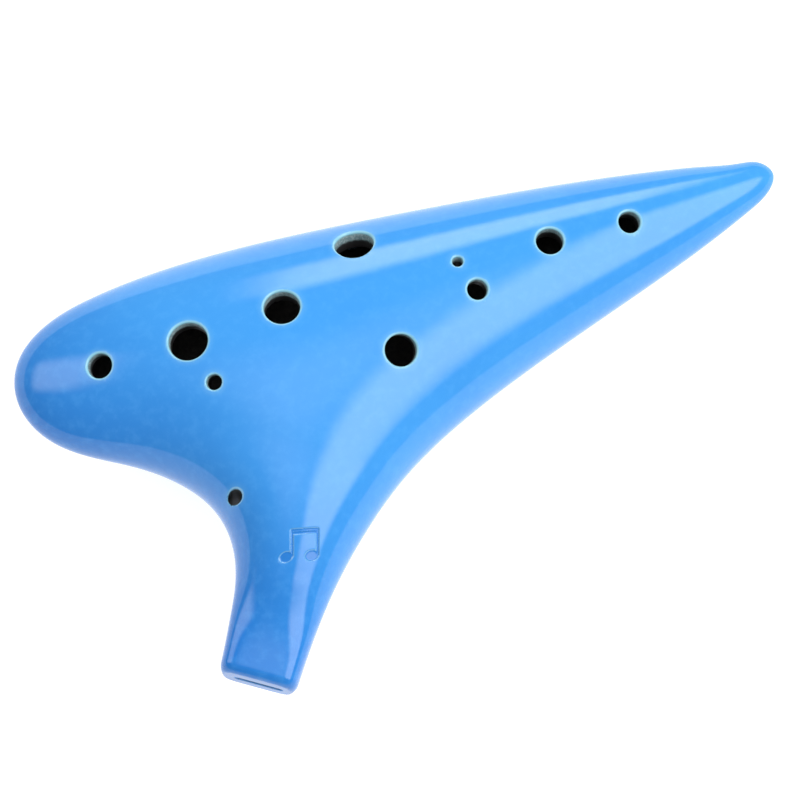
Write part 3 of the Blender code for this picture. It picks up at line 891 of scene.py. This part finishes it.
class Nodes(Tree):
    """Short calls for building a material's nodes."""

    def __init__(self, name):
        self.material = bpy.data.materials.new(name)
        self.material.use_nodes = True
        super().__init__(self.material.node_tree)
        self.shader = self.tree.nodes["Principled BSDF"]
        self.place = self.add("ShaderNodeTexCoord").outputs["Object"]

    def noise(self, scale, detail=2.0, roughness=0.5):
        node = self.add("ShaderNodeTexNoise")
        node.inputs["Scale"].default_value = scale
        node.inputs["Detail"].default_value = detail
        node.inputs["Roughness"].default_value = roughness
        self.link(self.place, node.inputs["Vector"])
        return node.outputs["Fac"]

    def specks(self, scale):
        node = self.add("ShaderNodeTexVoronoi")
        node.inputs["Scale"].default_value = scale
        self.link(self.place, node.inputs["Vector"])
        return node

    def mix(self, share, first, second):
        node = self.add("ShaderNodeMix", data_type="RGBA")
        for index, value in ((0, share), (6, first), (7, second)):
            self.fill(node.inputs[index], value)
        return node.outputs[2]

    def attribute(self, name):
        return self.add("ShaderNodeAttribute", attribute_name=name).outputs["Fac"]

    def bump(self, height, distance, strength=1.0):
        node = self.add("ShaderNodeBump")
        node.inputs["Distance"].default_value = distance
        node.inputs["Strength"].default_value = strength
        self.link(height, node.inputs["Height"])
        self.link(node.outputs["Normal"], self.shader.inputs["Normal"])

    def finish(self, colour, roughness):
        """Sets the base colour and the roughness, and gives back the material."""
        self.fill(self.shader.inputs["Base Color"], colour)
        self.fill(self.shader.inputs["Roughness"], roughness)
        return self.material


def glaze_material(colours):
    """Glossy blue: pale where it runs thin on an edge, deeper on the neck and at the thumb end, partly as
    painted shade.
    """
    nodes = Nodes("blue_glaze")
    cloud = nodes.ramp(nodes.noise(28.0, 2.0), (0.35, 0.68, -0.08, 0.10))
    # Painted shade, in part: the glaze darkens towards the neck and the thumb end, the side that gets less
    # light.
    deeper_glaze_and_shade = nodes.math("ADD", nodes.attribute("deeper_glaze_and_shade"), cloud)
    body = nodes.mix(deeper_glaze_and_shade, colours.mid, colours.deep)
    mottle = nodes.ramp(nodes.noise(420.0, 4.0, 0.6), (0.42, 0.72, 0.0, 0.16))
    body = nodes.mix(mottle, body, colours.light)
    cells = nodes.specks(95.0)
    speck_size = nodes.ramp(cells.outputs["Distance"], (0.02, 0.05, 1.0, 0.0))
    chosen = nodes.ramp(nodes.noise(60.0, 1.0), (0.62, 0.66, 0.0, 0.55))
    body = nodes.mix(nodes.math("MULTIPLY", speck_size, chosen), body, colours.speck)
    body = nodes.mix(nodes.math("MULTIPLY", nodes.attribute("pressed"), 0.7), body, colours.deep)
    uneven = nodes.ramp(nodes.noise(900.0, 3.0), (0.2, 0.5, 0.8, 1.0))
    body = nodes.mix(nodes.math("MULTIPLY", nodes.attribute("thin"), uneven), body, colours.edge)
    grit = nodes.ramp(nodes.noise(1500.0, 4.0, 0.7), (0.40, 0.62, 0.0, 1.0))
    wall = nodes.mix(grit, colours.wall_dark, colours.wall)
    wall = nodes.mix(nodes.attribute("deep"), wall, colours.clay)
    body = nodes.mix(nodes.attribute("wall"), body, wall)
    matte = nodes.ramp(nodes.attribute("wall"), (0.0, 1.0, 0.0, 0.45))
    ripple = nodes.ramp(nodes.noise(150.0, 2.0), (0.3, 0.7, 0.055, 0.095))
    nodes.shader.inputs["IOR"].default_value = 1.52
    nodes.bump(nodes.noise(85.0, 2.0, 0.45), 0.00006)
    return nodes.finish(body, nodes.math("ADD", ripple, matte))


def bare_clay_material(colours):
    """Near-black bare clay, matte and slightly gritty."""
    nodes = Nodes("bare_fired_clay")
    grain = nodes.ramp(nodes.noise(1100.0, 5.0, 0.65), (0.35, 0.7, 0.0, 1.0))
    nodes.bump(nodes.noise(900.0, 4.0, 0.6), 0.00012, 0.7)
    matte = nodes.ramp(nodes.noise(300.0), (0.3, 0.7, 0.62, 0.82))
    return nodes.finish(nodes.mix(grain, colours.clay, colours.clay_light), matte)


def slip_material(colours):
    """Fired slip, pale and smeared by a brush."""
    nodes = Nodes("fired_slip")
    smear = nodes.ramp(nodes.noise(240.0, 3.0), (0.3, 0.7, 0.0, 1.0))
    nodes.bump(nodes.noise(600.0, 3.0), 0.0001, 0.6)
    matte = nodes.ramp(nodes.noise(500.0), (0.3, 0.7, 0.6, 0.8))
    return nodes.finish(nodes.mix(smear, colours.slip_dark, colours.slip), matte)


def floor_material(colours):
    """A plain table, very faintly uneven, that also gives off light of its own."""
    nodes = Nodes("white_table")
    nodes.shader.inputs["Specular IOR Level"].default_value = 0.1
    nodes.shader.inputs["Emission Color"].default_value = (1.0, 1.0, 1.0, 1.0)
    nodes.shader.inputs["Emission Strength"].default_value = bpy.context.scene.ocarina_stage.table_glow
    return nodes.finish(nodes.mix(nodes.noise(3.0, 2.0), colours.table, colours.table_light), 0.9)


def material_called(name, make):
    """One copy of each material, made when it is first wanted."""
    found = bpy.data.materials.get(name)
    return found if found else make(bpy.context.scene.ocarina_colours)


def glaze():
    return material_called("blue_glaze", glaze_material)


def bare_clay():
    return material_called("bare_fired_clay", bare_clay_material)


# ----------------------------------------------------------------------------------- settings

def length_property(name, description, default):
    return bpy.props.FloatProperty(name=name, description=description, default=default, unit="LENGTH")


def plain_property(name, description, default):
    return bpy.props.FloatProperty(name=name, description=description, default=default)


def angle_property(name, description, degrees):
    return bpy.props.FloatProperty(
        name=name, description=description, default=math.radians(degrees), subtype="ANGLE"
    )


def colour_property(name, description, display):
    return bpy.props.FloatVectorProperty(
        name=name, description=description, default=linear(display), size=4, min=0.0, max=1.0,
        subtype="COLOR",
    )


class OcarinaSizes(bpy.types.PropertyGroup):
    """Sizes of the fine shapes."""

    mesh_step: length_property("Mesh step", "Distance between points of the clay's mesh", 0.00065)
    lip: length_property("Lip", "Rounding of a large hole's rim", 0.0006)
    small_lip: length_property("Small lip", "Rounding of a small hole's rim", 0.00045)
    slot_lip: length_property("Slot lip", "Rounding of the windway's slot", 0.00035)
    inner_edge: length_property("Inner edge", "Rounding where a hole meets the chamber", 0.0003)
    halo: length_property("Halo", "How far from a hole's wall the glaze is thin", 0.0019)
    glazed_wall: length_property("Glazed wall", "How deep the glaze reaches into a hole", 0.0024)
    haze: plain_property("Haze", "Paleness of the glaze round a hole", 0.18)
    press_depth: length_property("Press depth", "Depth of the pressed mark", 0.0003)
    bead: length_property("Bead", "Radius of the slip bead inside the joint", 0.0009)


class OcarinaColours(bpy.types.PropertyGroup):
    """Colours of the glaze, the clay and the table."""

    # The deep glaze is partly painted shade on the neck and at the thumb end; it also deepens the pressed
    # mark.
    deep: colour_property("Deep glaze", "The glaze on the neck and at the thumb end", (20, 117, 204))
    mid: colour_property("Glaze", "The glaze over most of the body", (60, 153, 232))
    light: colour_property("Light glaze", "Faint mottling in the glaze", (90, 176, 244))
    edge: colour_property("Thin glaze", "Where the glaze runs thin on an edge", (150, 208, 226))
    speck: colour_property("Speck", "Iron specks in the glaze", (14, 74, 140))
    wall: colour_property("Hole wall", "Thin glaze on a hole's wall", (164, 184, 188))
    wall_dark: colour_property("Hole wall, pitted", "Pits on a hole's wall", (118, 144, 150))
    # Near-black; it shows on the chamber's wall and deep in the holes.
    clay: colour_property("Clay", "The fired clay", (34, 32, 33))
    clay_light: colour_property("Light clay", "Grit in the fired clay", (54, 49, 48))
    slip: colour_property("Slip", "The fired slip", (205, 221, 229))
    slip_dark: colour_property("Dark slip", "Thinner slip", (170, 190, 202))
    table: colour_property("Table", "The table", (170, 170, 171))
    table_light: colour_property("Table, lighter", "Its lighter patches", (174, 174, 174))


class OcarinaStage(bpy.types.PropertyGroup):
    """Camera and lights."""

    frame_width: length_property("Frame width", "Width that the camera takes in at the seam", 0.1834)
    lens: plain_property("Lens", "Focal length in millimetres", 400.0)
    tilt: angle_property("Tilt", "How far the view leans from straight down", 14.0)
    roll: angle_property("Roll", "How far the body is turned in the view", 14.2)
    ambient: plain_property("Ambient", "Brightness all round", 0.42)
    table_glow: plain_property("Table glow", "Brightness of the table's own light", 0.86)


# ----------------------------------------------------------------------------------- operators

class OCARINA_OT_clay(bpy.types.Operator):
    """Make the finger side and the thumb side of the glazed body"""

    bl_idname = "ocarina.clay"
    bl_label = "Clay halves"

    def execute(self, context):
        sizes = context.scene.ocarina_sizes
        bm = fired_clay(sizes)
        whole = bpy.data.meshes.new("fired_clay")
        bm.to_mesh(whole)
        bm.free()
        for name, node, upper in (("finger_side", "upper_shell", True), ("thumb_side", "lower_shell", False)):
            half = new_object(name, half_of(whole, upper), recalculate=False)
            dress(half, (glaze(), bare_clay()), sizes)
            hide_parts(node)
            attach(half, "root")
        bpy.data.meshes.remove(whole)
        return {"FINISHED"}


class OCARINA_OT_joint(bpy.types.Operator):
    """Make the bead of slip that joins the halves on the inside"""

    bl_idname = "ocarina.joint"
    bl_label = "Slip bead"

    def execute(self, context):
        route = closed_curve(CHAMBER_OUTLINE, OUTLINE_STEPS)
        curve = bpy.data.curves.new("slip_bead", "CURVE")
        curve.dimensions = "3D"
        curve.bevel_depth = context.scene.ocarina_sizes.bead
        curve.bevel_resolution = 3
        spline = curve.splines.new("POLY")
        spline.points.add(len(route) - 1)
        spline.use_cyclic_u = True
        for point, (x, y) in zip(spline.points, route):
            point.co = (x * MM, y * MM, SEAM, 1.0)
        loop = bpy.data.objects.new("slip_bead_curve", curve)
        context.scene.collection.objects.link(loop)
        bm = finished_mesh(loop)
        bpy.data.curves.remove(curve)
        bead = new_object("slip_bead", bm)
        bead.data.materials.append(slip_material(context.scene.ocarina_colours))
        bead.data.shade_smooth()
        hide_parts("slip_seam")
        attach(bead, "root")
        return {"FINISHED"}


class OCARINA_OT_windway(bpy.types.Operator):
    """Give the windway's roof and floor their clay"""

    bl_idname = "ocarina.windway"
    bl_label = "Windway"

    def execute(self, context):
        for node in ("windway_roof", "windway_floor"):
            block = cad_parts[node]
            block.data.materials.clear()
            block.data.materials.append(bare_clay())
        return {"FINISHED"}


class OCARINA_OT_labium(bpy.types.Operator):
    """Make the labium, the wedge that splits the air, with its ramp running out into the belly"""

    bl_idname = "ocarina.labium"
    bl_label = "Labium"

    def execute(self, context):
        start = WINDOW_END + GAP
        middle = -start * math.tan(WINDWAY_DROP)
        under, over = middle - LABIUM_EDGE / 2.0, middle + LABIUM_EDGE / 2.0
        length = LABIUM_END + LABIUM_PAST_END - start
        width = LABIUM_WIDTH + 2.0 * LABIUM_PAST_SIDE
        belly = -half_depth_at(*(TIP - OUTWARDS * LABIUM_END))
        bm = bmesh.new()
        bmesh.ops.create_grid(bm, x_segments=LABIUM_GRID[0], y_segments=LABIUM_GRID[1], size=0.5)
        sheet = bm.faces[:]
        lifted = bmesh.ops.extrude_face_region(bm, geom=sheet, use_keep_orig=True)["geom"]
        top = {piece for piece in lifted if isinstance(piece, bmesh.types.BMVert)}
        for vert in bm.verts:
            behind = start + length * (vert.co.x + 0.5)
            place = TIP - OUTWARDS * behind + ACROSS * (vert.co.y * width)
            share = (behind - start) / (LABIUM_END - start)
            height = max(under + (belly - under) * share, -half_depth_at(place.x, place.y))
            if vert in top:
                height = over + (belly + WALL - over) * share
            vert.co = (place.x, place.y, height)
        bmesh.ops.scale(bm, verts=bm.verts, vec=(MM, MM, MM))
        bmesh.ops.translate(bm, verts=bm.verts, vec=(0.0, 0.0, SEAM))
        bmesh.ops.recalc_face_normals(bm, faces=bm.faces)
        wedge = new_object("labium_wedge", bm)
        wedge.data.materials.append(glaze())
        wedge.data.shade_smooth()
        wedge.data.set_sharp_from_angle(angle=LABIUM_SHARP_ANGLE)
        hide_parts("labium")
        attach(wedge, "root")
        return {"FINISHED"}


class OCARINA_OT_stage(bpy.types.Operator):
    """Set up the table, the soft lights and the camera"""

    bl_idname = "ocarina.stage"
    bl_label = "Stage"

    # Each softbox: angle round the body from +x, angle down from overhead, width, height,
    # brightness and the share of it that fades at each edge.
    SOFTBOXES = {
        "overhead_softbox": (80.0, 2.0, 1.10, 0.90, 1.1, 0.45),
        "far_softbox": (74.0, 61.0, 0.66, 0.46, 4.2, 0.32),
        "tail_softbox": (-19.0, 41.0, 1.20, 0.88, 3.6, 0.24),
        "left_softbox": (154.0, 55.0, 0.56, 0.84, 2.4, 0.30),
    }
    LIGHT_DISTANCE = 0.9
    TARGET = (0.018, -0.012)     # plan point that the camera and the lights face
    TABLE_HALF_WIDTH = 3.0
    SENSOR = 36.0
    TABLE_GAP = 0.00005          # keeps the resting flat off the table's own plane

    def fade(self, tree, along, edge):
        """Full in the middle of a softbox and nothing at both ends of one of its sides."""
        from_middle = tree.math("ABSOLUTE", tree.math("SUBTRACT", along, 0.5))
        return tree.ramp(from_middle, (0.5 - edge, 0.5, 1.0, 0.0))

    def softbox(self, name, round_body, down, width, height, brightness, edge, target):
        turn, lean = math.radians(round_body), math.radians(down)
        direction = Vector((math.cos(turn) * math.sin(lean), math.sin(turn) * math.sin(lean), math.cos(lean)))
        lamp = bpy.data.lights.new(name, "AREA")
        lamp.shape = "RECTANGLE"
        lamp.size = width
        lamp.size_y = height
        lamp.energy = brightness * math.pi * width * height
        lamp.use_nodes = True
        tree = Tree(lamp.node_tree)
        parts = tree.add("ShaderNodeSeparateXYZ")
        tree.link(tree.add("ShaderNodeNewGeometry").outputs["Parametric"], parts.inputs["Vector"])
        fades = [self.fade(tree, parts.outputs[side], edge) for side in ("X", "Y")]
        tree.link(tree.math("MULTIPLY", *fades), lamp.node_tree.nodes["Emission"].inputs["Strength"])
        obj = bpy.data.objects.new(name, lamp)
        obj.visible_camera = False
        obj.location = target + direction * self.LIGHT_DISTANCE
        side = Vector((0.0, 0.0, 1.0)).cross(direction).normalized()
        up = direction.cross(side)
        obj.rotation_euler = Matrix((side, up, direction)).transposed().to_euler()
        bpy.context.scene.collection.objects.link(obj)

    def execute(self, context):
        settings = context.scene.ocarina_stage
        target = Vector((*self.TARGET, SEAM))
        bm = bmesh.new()
        bmesh.ops.create_grid(bm, x_segments=8, y_segments=8, size=self.TABLE_HALF_WIDTH)
        floor = new_object("table", bm)
        floor.data.transform(Matrix.Translation((0.0, 0.0, CAD_BOX[0][2] - self.TABLE_GAP)))
        floor.data.materials.append(floor_material(context.scene.ocarina_colours))
        for name, values in self.SOFTBOXES.items():
            self.softbox(name, *values, target)
        world = bpy.data.worlds.new("studio")
        world.use_nodes = True
        sky = world.node_tree.nodes["Background"]
        sky.inputs["Color"].default_value = (1.0, 1.0, 1.0, 1.0)
        sky.inputs["Strength"].default_value = settings.ambient
        context.scene.world = world
        lens = bpy.data.cameras.new("camera")
        lens.lens = settings.lens
        lens.sensor_width = self.SENSOR
        camera = bpy.data.objects.new("camera", lens)
        roll, tilt = settings.roll, settings.tilt
        towards = Vector((
            -math.sin(roll) * math.sin(tilt), -math.cos(roll) * math.sin(tilt), math.cos(tilt)
        ))
        right = Vector((math.cos(roll), -math.sin(roll), 0.0))
        up = towards.cross(right)
        turn = Matrix((right, up, towards)).transposed().to_4x4()
        distance = settings.frame_width * settings.lens / self.SENSOR
        camera.matrix_world = Matrix.Translation(target + towards * distance) @ turn
        context.scene.collection.objects.link(camera)
        context.scene.camera = camera
        context.scene.view_settings.view_transform = "Standard"
        return {"FINISHED"}


class OCARINA_PT_panel(bpy.types.Panel):
    """Lists the ocarina's pieces and settings"""

    bl_label = "Ocarina"
    bl_idname = "OCARINA_PT_panel"
    bl_space_type = "VIEW_3D"
    bl_region_type = "UI"
    bl_category = "Ocarina"

    def draw(self, context):
        for operator in OPERATORS:
            self.layout.operator(operator.bl_idname)
        scene = context.scene
        for group in (scene.ocarina_sizes, scene.ocarina_colours, scene.ocarina_stage):
            for name in group.__annotations__:
                self.layout.prop(group, name)


GROUPS = (OcarinaSizes, OcarinaColours, OcarinaStage)
OPERATORS = (
    OCARINA_OT_clay, OCARINA_OT_joint, OCARINA_OT_windway, OCARINA_OT_labium, OCARINA_OT_stage,
)


def register():
    for item in GROUPS + OPERATORS + (OCARINA_PT_panel,):
        bpy.utils.register_class(item)
    bpy.types.Scene.ocarina_sizes = bpy.props.PointerProperty(type=OcarinaSizes)
    bpy.types.Scene.ocarina_colours = bpy.props.PointerProperty(type=OcarinaColours)
    bpy.types.Scene.ocarina_stage = bpy.props.PointerProperty(type=OcarinaStage)


def unregister():
    del bpy.types.Scene.ocarina_stage
    del bpy.types.Scene.ocarina_colours
    del bpy.types.Scene.ocarina_sizes
    for item in reversed(GROUPS + OPERATORS + (OCARINA_PT_panel,)):
        bpy.utils.unregister_class(item)


def main():
    register()
    bpy.ops.ocarina.clay()
    bpy.ops.ocarina.joint()
    bpy.ops.ocarina.windway()
    bpy.ops.ocarina.labium()
    bpy.ops.ocarina.stage()


if __name__ == "__main__":
    main()
